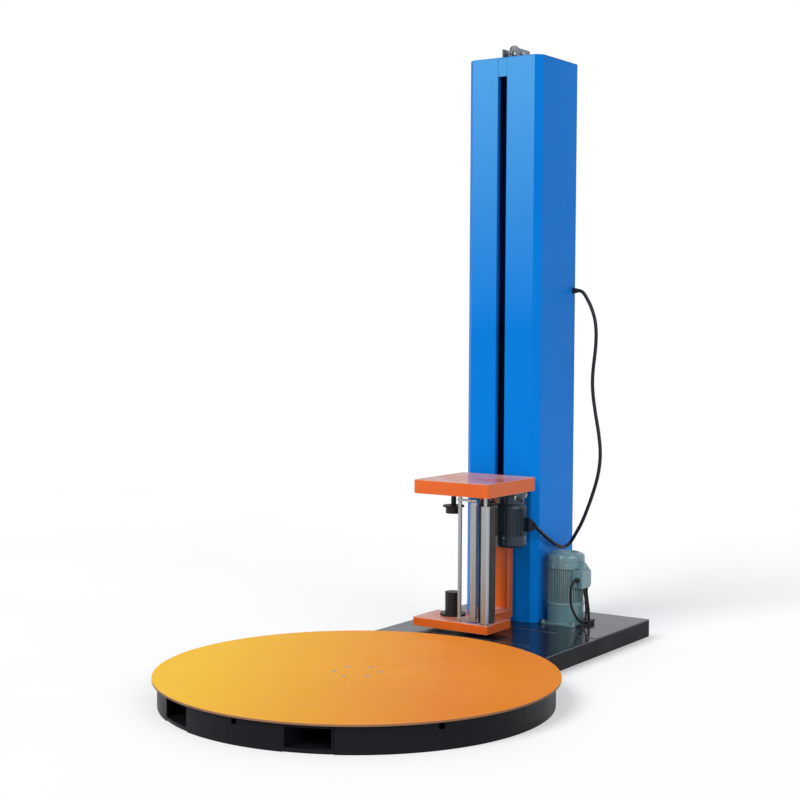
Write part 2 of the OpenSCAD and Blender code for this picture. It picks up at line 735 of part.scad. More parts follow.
// The lift chain stands in the plane of the mast's centre line, from the foot sprocket to the head sprocket
module lift_chain() {
    color(bare_steel) translate([mast_x, lift_y, 0]) rotate([90, 0, 90]) rotate([0, 0, 90])
        chain([foot_z, 0], lift_r, [head_z, 0], lift_r, lift_sprocket_t + 1, 3 * lift_pitch,
            [trolley_z + 20, trolley_z + trolley_h - 20]);
}

module lift_sprocket(z, shaft_low, shaft_high, bored) {
    color(bare_steel) difference() {
        union() {
            translate([mast_x - lift_sprocket_t / 2, lift_y, z]) rotate([90, 0, 90])
                linear_extrude(lift_sprocket_t) sprocket_outline(lift_teeth, lift_pitch, 5.1);
            bar_x(lift_y, z, 20, mast_x - 14, mast_x + 14);
            if (!bored) bar_x(lift_y, z, lift_axle_r, shaft_low, shaft_high);
        }
        if (bored) bar_x(lift_y, z, lift_axle_r + run_gap, mast_x - 30, mast_x + 30);
    }
}

module head_sprocket() {
    lift_sprocket(head_z, 0, 0, true);
}

module foot_sprocket() {
    lift_sprocket(foot_z, mast_x - 50, mast_x + 50, false);
}

// Two plates that carry the head axle, each with a foot bolted to the top of the mast
module head_bearings() {
    y0 = 1408;
    y1 = 1530;
    top = mast_top_z + 50;
    r = 12;
    color([0.22, 0.24, 0.27]) for (s = [-1, 1]) {
        inner = s * cheek_offset;
        outer = inner + s * cheek_t;
        difference() {
            translate([mast_x + min(inner, outer), 0, 0]) rotate([90, 0, 90]) linear_extrude(cheek_t)
                union() {
                    translate([y0, mast_top_z]) square([y1 - y0, top - mast_top_z - r]);
                    translate([y0, mast_top_z]) square([y1 - y0 - r, top - mast_top_z]);
                    translate([y1 - r, top - r]) circle(r);
                }
            bar_x(lift_y, head_z, lift_axle_r + run_gap, mast_x - 80, mast_x + 80);
        }
        foot_low = mast_x + (s > 0 ? cheek_offset + cheek_t + seam_gap : -cheek_offset - cheek_t - seam_gap - 24);
        block([foot_low, y0, mast_top_z + seam_gap], [foot_low + 24, y1, mast_top_z + 6]);
        for (y = [y0 + 18, y1 - 18]) translate([foot_low + 12, y, mast_top_z + 6 + seam_gap]) hex_bolt(4);
    }
    color(bare_steel) bar_x(lift_y, head_z, lift_axle_r, mast_x - cheek_offset - 16, mast_x + cheek_offset + 16);
}

// The board behind the door, with two drives, a controller and a terminal row
module equipment_plate() {
    y0 = mast_rear_y - 60;
    low = door_z0 + 34;
    color(bare_steel) {
        block([mast_x0 + sheet_t + seam_gap, y0, low], [mast_x1 - sheet_t - seam_gap, y0 + 3, door_z1 - 34]);
        for (x = [-130, -20]) block([mast_x + x, y0 + 3 + seam_gap, low + 260], [mast_x + x + 90, y0 + 46, low + 440]);
        block([mast_x + 80, y0 + 3 + seam_gap, low + 300], [mast_x + 140, y0 + 40, low + 420]);
        for (i = [0:13]) block([mast_x - 130 + i * 18, y0 + 3 + seam_gap, low + 60], [mast_x - 114 + i * 18, y0 + 36, low + 112]);
    }
}

module carriage_cable() {
    color(black_nylon) cable(carriage_cable_route, carriage_cable_r, 2, 10);
}

// ---------- turning table ----------

module table_plate() {
    color(table_orange) difference() {
        translate([0, 0, table_bottom]) cylinder(r = table_d / 2, h = table_t, $fn = 180);
        hub_bolt_holes();
    }
}

// Clearance for the six countersunk bolts that hold the plate to its hub
module hub_bolt_holes() {
    for (i = [0:5]) rotate([0, 0, 30 + i * 60]) {
        post([hub_bolt_pcd / 2, 0], hub_bolt_r + 0.3, 0, table_top + 1);
        post([hub_bolt_pcd / 2, 0], hub_head_r + 0.3, table_top - 5, table_top + 1);
    }
}

module hub_bolts() {
    color(bare_steel) for (i = [0:5]) rotate([0, 0, 30 + i * 60]) {
        post([hub_bolt_pcd / 2, 0], hub_bolt_r, table_bottom - 11, table_top - 4.9);
        post([hub_bolt_pcd / 2, 0], hub_head_r, table_top - 4.9, table_top - 0.4);
    }
}

module table_hub() {
    color(bare_steel) difference() {
        union() {
            post([0, 0], hub_r, floor_t + 14, table_bottom - 12);
            post([0, 0], hub_flange_r, table_bottom - 12, table_bottom - seam_gap);
        }
        post([0, 0], hub_bore_r + run_gap, 0, table_bottom + 1);
        hub_bolt_holes();
    }
}

module table_sprocket() {
    color(bare_steel) translate([0, 0, table_chain_z - table_sprocket_t / 2]) difference() {
        linear_extrude(table_sprocket_t) sprocket_outline(table_teeth, table_chain_pitch, 6);
        translate([0, 0, -1]) cylinder(r = hub_r + run_gap, h = table_sprocket_t + 2);
        for (i = [0:5]) rotate([0, 0, i * 60]) translate([130, 0, -1]) cylinder(r = 42, h = table_sprocket_t + 2);
    }
}

// ---------- film carriage ----------

// The gear case: an upturned tray over the stretch gears, with rounded upright edges
module carriage_case() {
    low = [mast_x - 202, carriage_front_y];
    high = [mast_x + 202, carriage_rear_y];
    color(carriage_orange) translate([0, 0, case_z]) difference() {
        linear_extrude(case_h) rounded_square(low, high, 14);
        translate([0, 0, -1]) linear_extrude(case_h - case_t + 1)
            rounded_square(low + [case_t, case_t], high - [case_t, case_t], 11);
    }
}

// Holes for the shafts of the rollers and of the dancer arm
module shaft_holes(z0, z1) {
    for (at = [slow_at, fast_at]) post(at, shaft_r + run_gap, z0, z1);
    for (at = [inlet_at, outlet_at]) post(at, idle_shaft_r + run_gap, z0, z1);
    post(dancer_pivot_at, dancer_shaft_r + run_gap, z0, z1);
}

module carriage_bearing_plate() {
    low = [mast_x - 202 + case_t + seam_gap, carriage_front_y + case_t + seam_gap];
    high = [mast_x + 202 - case_t - seam_gap, carriage_rear_y - case_t - seam_gap];
    color(carriage_orange) difference() {
        translate([0, 0, case_z]) linear_extrude(bearing_plate_t) rounded_square(low, high, 12);
        shaft_holes(case_z - 1, case_z + bearing_plate_t + 1);
        post(spindle_at, holder_rod_r + run_gap, case_z - 1, case_z + bearing_plate_t + 1);
        post(stretch_motor_at, 14, case_z - 1, case_z + bearing_plate_t + 1);
    }
}

// The folded column at the mast, which ties the gear case to the lower tray
module carriage_column() {
    front = carriage_rear_y - column_depth;
    top = case_z - seam_gap;
    color(carriage_orange) {
        translate([mast_x, 0, 0]) folded_wall([[-column_half_w, front], [-column_half_w, carriage_rear_y],
            [column_half_w, carriage_rear_y], [column_half_w, front]], -4, tray_top + seam_gap, top);
        translate([mast_x, 0, 0]) block([-column_half_w + 4.1, front + 0.5, top - 6],
            [column_half_w - 4.1, carriage_rear_y - 4.1, top]);
    }
}

// The lower tray: wide under the rollers and as narrow as the column beside the mast
module carriage_tray() {
    half = 202;
    color(carriage_orange) translate([mast_x, 0, tray_z]) difference() {
        linear_extrude(tray_h) union() {
            rounded_square([-half, carriage_front_y], [half, tray_rear_y], 8);
            translate([-column_half_w, tray_rear_y - 20]) square([2 * column_half_w, carriage_rear_y - tray_rear_y + 20]);
        }
        translate([0, 0, -1]) linear_extrude(tray_h - 5) {
            rounded_square([-half + 4, carriage_front_y + 4], [half - 4, tray_rear_y - 4], 5);
            translate([-column_half_w + 4, tray_rear_y - 20])
                square([2 * column_half_w - 8, carriage_rear_y - tray_rear_y + 16]);
        }
        translate([-mast_x, 0, 0]) {
            shaft_holes(20, tray_h + 1);
            post(spindle_at, 15 + run_gap, 20, tray_h + 1);
        }
    }
}

// The neck through the slot, its slide shoes in the guide rails, and the clamp on the lift chain
module trolley() {
    top = trolley_z + trolley_h;
    back = mast_front_y + 78;
    color(bare_steel) translate([mast_x, 0, 0]) {
        block([-60, carriage_rear_y + seam_gap, trolley_z], [60, mast_front_y - 4, case_z + 40]);
        for (s = [0, 1]) mirror([s, 0, 0]) {
            block([trolley_plate_in, mast_front_y - 4, trolley_z], [trolley_plate_out, back, top]);
            for (z = [trolley_z + 10, top - 60]) {
                block([trolley_plate_out, mast_front_y + 50, z + 12], [66, back - 8, z + 38]);
                block([66, mast_front_y + 35.5, z], [95.5, mast_front_y + 84.5, z + 50]);
            }
        }
        block([-trolley_plate_in, lift_y - lift_r - 22, trolley_z + 60], [trolley_plate_in, lift_y - lift_r - 12, top - 60]);
        block([-lift_sprocket_t / 2, lift_y - lift_r - 12, trolley_z + 60], [lift_sprocket_t / 2, lift_y - lift_r + 4, top - 60]);
    }
}

// The stretch drive hangs from the bearing plate with its shaft pointing up
module stretch_gearbox() {
    color(motor_green) difference() {
        union() {
            translate([0, 0, case_z - 10]) linear_extrude(10 - seam_gap)
                rounded_square(stretch_motor_at - stretch_flange_half * [1, 1],
                    stretch_motor_at + stretch_flange_half * [1, 1], 12);
            post(stretch_motor_at, stretch_gearbox_r, stretch_gearbox_low, case_z - 10);
        }
        post(stretch_motor_at, 12 + run_gap, case_z - 30, case_z + 1);
    }
    color(bare_steel) for (x = [-1, 1], y = [-1, 1])
        translate([stretch_motor_at.x + x * stretch_bolt_half, stretch_motor_at.y + y * stretch_bolt_half,
            case_z - 10 - seam_gap]) rotate([180, 0, 0]) stud(4, 18);
}

// The finned body with a rounded shoulder above it and the fan cover below it
module stretch_motor() {
    shoulder_h = stretch_gearbox_low - seam_gap - stretch_fins_top;
    r = stretch_motor_r;
    color(motor_green) translate([stretch_motor_at.x, stretch_motor_at.y, 0]) {
        translate([0, 0, stretch_fins_z]) finned_body(r, r - 7, 44, stretch_fins_top - stretch_fins_z);
        translate([0, 0, stretch_fins_top]) rotate_extrude() polygon([[0, -2], [r + 0.5, -2], [r + 0.5, 0], [r - 1.5, 0.4 * shoulder_h],
            [r - 5, 0.75 * shoulder_h], [r - 11, shoulder_h], [0, shoulder_h]]);
        translate([0, 0, stretch_fins_z - seam_gap]) rotate([180, 0, 0]) fan_cover(r + 0.5, 57);
    }
}

// The box that the carriage's cable enters: it slopes down to a short sleeve that points along the cable
module stretch_terminal_box() {
    low_z = 558;
    end = carriage_cable_route[len(carriage_cable_route) - 1];
    out = unit(carriage_cable_route[len(carriage_cable_route) - 2] - end);
    color([0.16, 0.20, 0.22]) difference() {
        union() {
            translate([80, 0, 0]) rotate([90, 0, 90]) linear_extrude(28) polygon([[1212, low_z], [1248, low_z],
                [1276, low_z + 8], [1282, low_z + 26], [1238, low_z + 56], [1222, low_z + 64], [1212, low_z + 64]]);
            translate(end) rotate([-acos(out.z), 0, 0]) translate([0, 0, -26])
                cylinder(r1 = 13, r2 = carriage_cable_r + 1.5, h = 25.6);
        }
        post(stretch_motor_at, stretch_motor_r + 0.5 + air_gap, low_z - 10, low_z + 80);
    }
}

module gear(at, teeth, phase) {
    translate([at.x, at.y, gear_z]) linear_extrude(gear_t) gear_outline(teeth, phase);
}

// A rubber-covered roller between its two bearings, with its gear above the bearing plate
module stretch_roller(at, teeth, phase) {
    color(roller_rubber) {
        post(at, stretch_roller_d / 2, roller_low_z, roller_high_z);
        post(at, shaft_r, tray_top - journal, gear_z + gear_t);
        post(at, 16, case_z + bearing_plate_t + air_gap, gear_z);
        gear(at, teeth, phase);
    }
}

module stretch_roller_fast() {
    stretch_roller(fast_at, fast_teeth, fast_phase);
}

module stretch_roller_slow() {
    stretch_roller(slow_at, slow_teeth, slow_phase);
}

module stretch_pinion() {
    color(bare_steel) {
        gear(stretch_motor_at, pinion_teeth, pinion_phase);
        post(stretch_motor_at, 12, case_z - 25, gear_z + gear_t);
    }
}

// A plain roller that the film turns
module idle_roller(at) {
    color(bare_steel) {
        post(at, 20, roller_low_z, roller_high_z);
        post(at, idle_shaft_r, tray_top - journal, case_z + journal);
    }
}

module idle_roller_inlet() {
    idle_roller(inlet_at);
}

module idle_roller_outlet() {
    idle_roller(outlet_at);
}

// The sprung arm that feels the film's pull: an upright rod with an arm at each end
module dancer_arm() {
    color(bare_steel) {
        post(dancer_pivot_at, dancer_shaft_r, tray_top - journal, case_z + journal);
        for (z = [tray_top + 12, case_z - 22]) difference() {
            union() {
                post(dancer_pivot_at, 14, z, z + 10);
                post(dancer_roller_at, 14, z, z + 10);
                block([dancer_pivot_at.x, dancer_pivot_at.y - 10, z], [dancer_roller_at.x, dancer_roller_at.y + 10, z + 10]);
            }
            post(dancer_roller_at, 6 + run_gap, z - 1, z + 11);
        }
    }
}

module dancer_roller() {
    color(bare_steel) {
        post(dancer_roller_at, 18, tray_top + 24, case_z - 24);
        post(dancer_roller_at, 6, tray_top + 10, case_z - 10);
    }
}

// The turning spindle that the lower end of the film core stands on
module film_spindle() {
    color(black_nylon) {
        post(spindle_at, 60, tray_top + air_gap, film_low_z);
        post(spindle_at, spindle_d / 2, film_low_z, film_low_z + 100);
        post(spindle_at, 15, tray_top - journal, film_low_z);
    }
}

// The sprung plug that drops into the upper end of the film core
module film_core_holder() {
    color(black_nylon) {
        post(spindle_at, spindle_d / 2, film_high_z - 30, film_high_z);
        post(spindle_at, 50, film_high_z, film_high_z + 8);
        post(spindle_at, holder_rod_r, film_high_z + 8, case_z + 20);
    }
}

// ---------- control door ----------

module control_door() {
    t = 2;
    face = door_rear_y - t;
    color(mast_blue) {
        difference() {
            union() {
                difference() {
                    block([door_x0, door_front_y, door_z0], [door_x1, door_rear_y, door_z1]);
                    block([door_x0 + t, door_front_y - 1, door_z0 + t], [door_x1 - t, face, door_z1 - t]);
                }
                bar_y(estop_at.x, estop_at.y, 24, face, door_rear_y + 5);
                for (at = [start_at, stop_at]) bar_y(at.x, at.y, 16, face, door_rear_y + 6);
                bar_y(switch_at.x, switch_at.y, 30, face, door_rear_y + 4);
                block([mast_x - 120, face, 1350], [mast_x + 20, door_rear_y + 4, 1450]);
                bar_y(door_x1 - 30, 1240, 14, face, door_rear_y + 5);
                for (z = hinge_z) translate([hinge_at.x, hinge_at.y, z]) {
                    cylinder(r = 6, h = hinge_h);
                    block([0, -3, 0], [door_x0 - hinge_at.x + 1, 3, hinge_h]);
                }
            }
            bar_y(estop_at.x, estop_at.y, 8 + run_gap, door_front_y, door_rear_y + 10);
            for (at = [start_at, stop_at]) bar_y(at.x, at.y, 11 + run_gap, door_front_y, door_rear_y + 10);
            bar_y(switch_at.x, switch_at.y, 8 + run_gap, door_front_y, door_rear_y + 10);
            post(hinge_at, 3 + run_gap, door_z0, door_z1);
        }
    }
}

module emergency_stop() {
    color([0.75, 0.08, 0.07]) {
        bar_y(estop_at.x, estop_at.y, 8, door_rear_y - 8, door_rear_y + 14);
        translate([estop_at.x, door_rear_y + 12, estop_at.y]) rotate([-90, 0, 0])
            rotate_extrude() polygon([[0, 0], [20, 0], [20, 6], [18, 11], [12, 14], [0, 15]]);
    }
}

module push_button(at) {
    bar_y(at.x, at.y, 11, door_rear_y - 8, door_rear_y + 9);
}

module start_button() {
    color([0.10, 0.55, 0.25]) push_button(start_at);
}

module stop_button() {
    color([0.72, 0.10, 0.08]) push_button(stop_at);
}

module main_switch() {
    color(black_nylon) {
        bar_y(switch_at.x, switch_at.y, 8, door_rear_y - 8, door_rear_y + 5);
        bar_y(switch_at.x, switch_at.y, 19, door_rear_y + 4 + air_gap, door_rear_y + 12);
        block([switch_at.x - 6, door_rear_y + 12, switch_at.y - 24], [switch_at.x + 6, door_rear_y + 28, switch_at.y + 24]);
    }
}

// ---------- drawing ----------

floor_plates();
skirt_panels();
fork_pockets();
deck_frame();
mast_base_plate();
deck_covers();
centre_spindle();
roller_brackets();
table_gearbox();
table_motor();
table_terminal_box();
cable_glands();
motor_cable_front();
motor_cable_rear();
table_chain();
base_fasteners();
mast_left_shell();
mast_right_shell();
mast_closing_plate();
mast_top_plate();
mast_rear_panel();
guide_rails();
lift_gearmotor();
lift_chain();
head_bearings();
carriage_cable();
equipment_plate();
table_plate();
table_hub();
table_sprocket();
hub_bolts();
motor_sprocket();
support_roller(roller_angles[0]);  // support_roller_front
support_roller(roller_angles[1]);  // support_roller_rear
support_roller(roller_angles[2]);  // support_roller_left
support_roller(roller_angles[3]);  // support_roller_right
head_sprocket();
foot_sprocket();
carriage_case();
carriage_bearing_plate();
carriage_column();
carriage_tray();
trolley();
stretch_gearbox();
stretch_motor();
stretch_terminal_box();
stretch_roller_fast();
stretch_roller_slow();
stretch_pinion();
idle_roller_inlet();
idle_roller_outlet();
dancer_arm();
dancer_roller();
film_spindle();
film_core_holder();
control_door();
emergency_stop();
start_button();
stop_button();
main_switch();
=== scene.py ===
"""Turntable pallet wrapper: looks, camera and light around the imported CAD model. Metres, +Z up."""
import json
import math

import bmesh
import bpy
from mathutils import Matrix, Vector


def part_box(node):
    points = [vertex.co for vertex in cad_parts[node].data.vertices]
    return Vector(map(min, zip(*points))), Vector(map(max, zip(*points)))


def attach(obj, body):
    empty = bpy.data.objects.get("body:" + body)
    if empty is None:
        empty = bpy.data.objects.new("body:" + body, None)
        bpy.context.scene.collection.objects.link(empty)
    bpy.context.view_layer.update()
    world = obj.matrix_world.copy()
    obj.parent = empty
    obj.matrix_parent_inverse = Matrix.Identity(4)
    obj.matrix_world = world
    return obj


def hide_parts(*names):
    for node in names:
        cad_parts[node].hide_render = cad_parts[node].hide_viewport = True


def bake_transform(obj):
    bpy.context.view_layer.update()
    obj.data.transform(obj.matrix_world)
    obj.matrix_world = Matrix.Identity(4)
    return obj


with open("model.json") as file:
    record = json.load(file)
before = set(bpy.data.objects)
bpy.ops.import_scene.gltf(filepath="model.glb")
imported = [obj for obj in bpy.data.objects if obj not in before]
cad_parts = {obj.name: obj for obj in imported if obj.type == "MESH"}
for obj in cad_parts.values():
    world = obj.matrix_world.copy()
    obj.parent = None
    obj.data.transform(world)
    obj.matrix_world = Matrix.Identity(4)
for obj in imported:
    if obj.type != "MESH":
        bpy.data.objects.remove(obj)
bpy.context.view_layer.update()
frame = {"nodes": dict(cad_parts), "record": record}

nodes = frame["nodes"]
scene = bpy.context.scene

# ---------- measures, in metres unless the name says otherwise ----------

UP = Vector((0, 0, 1))
CAMERA_PLACE = (3.578, -4.971, 1.526)
CAMERA_AZIMUTH_DEG, CAMERA_DROP_DEG, CAMERA_ROLL_DEG = 34.18, 2.88, 0.3
LENS_MM, SENSOR_MM = 68.62, 36
CARRIAGE_CABLE_R, MOTOR_CABLE_R = 0.0085, 0.006
CABLE_STEPS, WIRE_STEPS = 8, 5                                     # steps in each leg of a route
RING_STEPS, WIRE_SIDES = 96, 8
CAD_CREASE_DEG = 28
FAN_SCREW_R, STRETCH_SCREW_R, LID_SCREW_R = 0.0046, 0.0042, 0.0034
FAN_SCREW_DROP, STRETCH_SCREW_RISE = 0.056, 0.049                  # from the motor's free end
FAN_SCREW_START_DEG, STRETCH_SCREW_START_DEG = -62, 5
BEAD_DROP, BEAD_SINK, BEAD_R = 0.0355, 0.0008, 0.0016
GRILLE_RISE, GRILLE_MARGIN, GRILLE_RING_R, GRILLE_SPOKE_R = 0.0006, 0.024, 0.0012, 0.001
STUD_OFFSET, STUD_TOP = 0.051, 0.7292                              # the stretch motor's flange studs
EARTH_WIRE_R = 0.0022
CHEEK_FACE = 0.0422                                                # from the head sprocket's middle
FLOOR_HALF, FLOOR_GAP = 30, 0.0005

# strength of the world's light
WORLD_ON_MATT, WORLD_ON_GLOSSY = 0.34, 0.8


# ---------- camera ----------

def look():
    """The camera where the machine is seen from: front right, at a standing eye's height, nearly level."""
    azimuth, drop, roll = (math.radians(a) for a in (CAMERA_AZIMUTH_DEG, CAMERA_DROP_DEG, CAMERA_ROLL_DEG))
    across = Vector((math.cos(azimuth), math.sin(azimuth), 0))
    ahead = Vector((-math.sin(azimuth), math.cos(azimuth), 0))
    forward = ahead * math.cos(drop) - UP * math.sin(drop)
    up = UP * math.cos(drop) + ahead * math.sin(drop)
    right = across * math.cos(roll) + up * math.sin(roll)
    top = up * math.cos(roll) - across * math.sin(roll)
    data = bpy.data.cameras.new("camera")
    data.sensor_width = SENSOR_MM
    data.lens = LENS_MM
    data.clip_start, data.clip_end = 0.1, 100
    camera = bpy.data.objects.new("camera", data)
    m = Matrix((right, top, -forward)).transposed().to_4x4()
    m.translation = Vector(CAMERA_PLACE)
    camera.matrix_world = m
    scene.collection.objects.link(camera)
    scene.camera = camera


# ---------- mesh helpers ----------

def new_object(name, mesh, material, body=None):
    """An object in the scene, riding on its body and standing for its material slot where they are given."""
    o = bpy.data.objects.new(name, mesh)
    scene.collection.objects.link(o)
    mesh.materials.append(material)
    if body:
        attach(o, body)
    return o


def from_bmesh(bm, name, smooth=35):
    """A mesh from a bmesh, with its faces turned outwards, and creases above the angle smooth."""
    mesh = bpy.data.meshes.new(name)
    bmesh.ops.recalc_face_normals(bm, faces=bm.faces)
    bm.to_mesh(mesh)
    bm.free()
    shade(mesh, smooth)
    return mesh


def shade(mesh, angle):
    """Smooth shading with sharp edges above an angle in degrees."""
    for p in mesh.polygons:
        p.use_smooth = True
    mesh.set_sharp_from_angle(angle=math.radians(angle))


def smooth_line(points, per):
    """A smooth line through all of the route's own points, with per steps between two of them."""
    p = [Vector(q) for q in points]
    line = []
    for i in range(len(p) - 1):
        a, b, c, d = p[max(i - 1, 0)], p[i], p[i + 1], p[min(i + 2, len(p) - 1)]
        for k in range(per):
            t = k / per
            line.append(0.5 * (2 * b + (c - a) * t + (2 * a - 5 * b + 4 * c - d) * t * t
                               + (3 * b - a - 3 * c + d) * t * t * t))
    return line + [p[-1]]


def tube(name, line, radius, sides=20):
    """A round tube swept along a line without twisting, closed at both ends."""
    bm = bmesh.new()
    n = len(line)
    d = (line[1] - line[0]).normalized()
    u = d.orthogonal().normalized()
    rings = []
    for i, p in enumerate(line):
        d = (line[min(i + 1, n - 1)] - line[max(i - 1, 0)]).normalized()
        u = (u - d * u.dot(d)).normalized()
        w = d.cross(u)
        angles = [k * math.tau / sides for k in range(sides)]
        rings.append([bm.verts.new(p + radius * (u * math.cos(a) + w * math.sin(a))) for a in angles])
    for a, b in zip(rings, rings[1:]):
        for k in range(sides):
            bm.faces.new((a[k], a[(k + 1) % sides], b[(k + 1) % sides], b[k]))
    bm.faces.new(rings[0])
    bm.faces.new(rings[-1])
    return from_bmesh(bm, name, 50)


def lathe(name, profile, centre, axis=(0, 0, 1), sides=48, smooth=35):
    """A closed turned shape: profile is (radius, height) pairs from one end of the axis to the other."""
    bm = bmesh.new()
    turn = Vector(axis).to_track_quat("Z", "Y").to_matrix()
    c = Vector(centre)
    rings = []
    angles = [k * math.tau / sides for k in range(sides)]
    for r, h in profile:
        if r == 0:
            rings.append([bm.verts.new(c + turn @ Vector((0, 0, h)))])
        else:
            rings.append([bm.verts.new(c + turn @ Vector((r * math.cos(a), r * math.sin(a), h)))
                          for a in angles])
    for a, b in zip(rings, rings[1:]):
        for k in range(sides):
            j = (k + 1) % sides
            if len(a) == 1:
                bm.faces.new((a[0], b[j], b[k]))
            elif len(b) == 1:
                bm.faces.new((a[k], a[j], b[0]))
            else:
                bm.faces.new((a[k], a[j], b[j], b[k]))
    return from_bmesh(bm, name, smooth)


def ring(name, centre, radius, wire_r):
    """A round wire bent into a level circle."""
    bm = bmesh.new()
    c = Vector(centre)
    angles = [k * math.tau / WIRE_SIDES for k in range(WIRE_SIDES)]
    loops = []
    for i in range(RING_STEPS):
        a = i * math.tau / RING_STEPS
        out = Vector((math.cos(a), math.sin(a), 0))
        loops.append([bm.verts.new(c + out * (radius + wire_r * math.cos(k)) + UP * wire_r * math.sin(k))
                      for k in angles])
    for i in range(RING_STEPS):
        a, b = loops[i], loops[(i + 1) % RING_STEPS]
        for k in range(WIRE_SIDES):
            j = (k + 1) % WIRE_SIDES
            bm.faces.new((a[k], a[j], b[j], b[k]))
    return from_bmesh(bm, name, 60)


def round_about(axis_xy, radius, degrees):
    """A place on a circle in plan, and the direction that it faces."""
    a = math.radians(degrees)
    out = Vector((math.cos(a), math.sin(a), 0))
    return Vector((axis_xy[0], axis_xy[1], 0)) + out * radius, out


# ---------- colours and materials ----------

def srgb(r, g, b):
    """A screen colour, 0 to 255, as linear light."""
    def one(v):
        v /= 255
        return v / 12.92 if v <= 0.04045 else ((v + 0.055) / 1.055) ** 2.4
    return (one(r), one(g), one(b), 1)


class Look:
    """A material being built: a Principled shader, and the nodes that feed it."""

    def __init__(self, name):
        self.material = bpy.data.materials.new(name)
        self.material.use_nodes = True
        self.tree = self.material.node_tree
        self.shader = next(n for n in self.tree.nodes if n.type == "BSDF_PRINCIPLED")
        self.place = self.node("ShaderNodeTexCoord").outputs["Object"]

    def node(self, kind, **settings):
        n = self.tree.nodes.new(kind)
        for k, v in settings.items():
            setattr(n, k, v)
        return n

    def link(self, a, b):
        self.tree.links.new(a, b)

    def value(self, **sockets):
        """Set sockets of the shader, with _ in place of each space in their names."""
        for k, v in sockets.items():
            self.shader.inputs[k.replace("_", " ")].default_value = v
        return self

    def noise(self, scale, detail=3.0, rough=0.55):
        n = self.node("ShaderNodeTexNoise")
        n.inputs["Scale"].default_value = scale
        n.inputs["Detail"].default_value = detail
        n.inputs["Roughness"].default_value = rough
        self.link(self.place, n.inputs["Vector"])
        return n.outputs["Fac"]

    def ramp(self, fac, low, high, a=0.0, b=1.0):
        """a where fac is low, b where it is high, and straight between. low may be the larger number."""
        n = self.node("ShaderNodeMapRange", clamp=True)
        n.inputs["From Min"].default_value = low
        n.inputs["From Max"].default_value = high
        n.inputs["To Min"].default_value = a
        n.inputs["To Max"].default_value = b
        self.link(fac, n.inputs["Value"])
        return n.outputs["Result"]

    def math(self, how, a, b):
        n = self.node("ShaderNodeMath", operation=how)
        for i, v in enumerate((a, b)):
            if isinstance(v, (int, float)):
                n.inputs[i].default_value = v
            else:
                self.link(v, n.inputs[i])
        return n.outputs[0]

    def mix(self, fac, a, b):
        n = self.node("ShaderNodeMix", data_type="RGBA")
        if isinstance(fac, (int, float)):
            n.inputs["Factor"].default_value = fac
        else:
            self.link(fac, n.inputs["Factor"])
        for name, v in (("A", a), ("B", b)):
            socket = next(s for s in n.inputs if s.name == name and s.type == "RGBA")
            if isinstance(v, tuple):
                socket.default_value = v
            else:
                self.link(v, socket)
        return next(s for s in n.outputs if s.type == "RGBA")

    def edges(self, radius):
        """A normal that rounds the sharp edges, and a mask that is 1 along them."""
        bevel = self.node("ShaderNodeBevel", samples=4)
        bevel.inputs["Radius"].default_value = radius
        flat = self.node("ShaderNodeNewGeometry").outputs["Normal"]
        dot = self.node("ShaderNodeVectorMath", operation="DOT_PRODUCT")
        self.link(bevel.outputs["Normal"], dot.inputs[0])
        self.link(flat, dot.inputs[1])
        return bevel.outputs["Normal"], self.ramp(dot.outputs["Value"], 0.995, 0.86)

    def facing(self, axis, low=0.8, high=0.98):
        """1 where the surface's normal along an axis is at high, and 0 where it is at low.

        Both are negative for the axis's minus side.
        """
        split = self.node("ShaderNodeSeparateXYZ")
        self.link(self.node("ShaderNodeNewGeometry").outputs["Normal"], split.inputs[0])
        return self.ramp(split.outputs[axis], low, high)

    def along(self, axis):
        """The place along one of the piece's own axes."""
        split = self.node("ShaderNodeSeparateXYZ")
        self.link(self.place, split.inputs[0])
        return split.outputs[axis]

    def bump(self, height, strength, distance, normal=None):
        n = self.node("ShaderNodeBump")
        n.inputs["Strength"].default_value = strength
        n.inputs["Distance"].default_value = distance
        self.link(height, n.inputs["Height"])
        if normal is not None:
            self.link(normal, n.inputs["Normal"])
        return n.outputs["Normal"]

    def finish(self, colour=None, roughness=None, normal=None):
        for name, v in (("Base Color", colour), ("Roughness", roughness), ("Normal", normal)):
            if v is not None:
                self.link(v, self.shader.inputs[name])
        return self.material


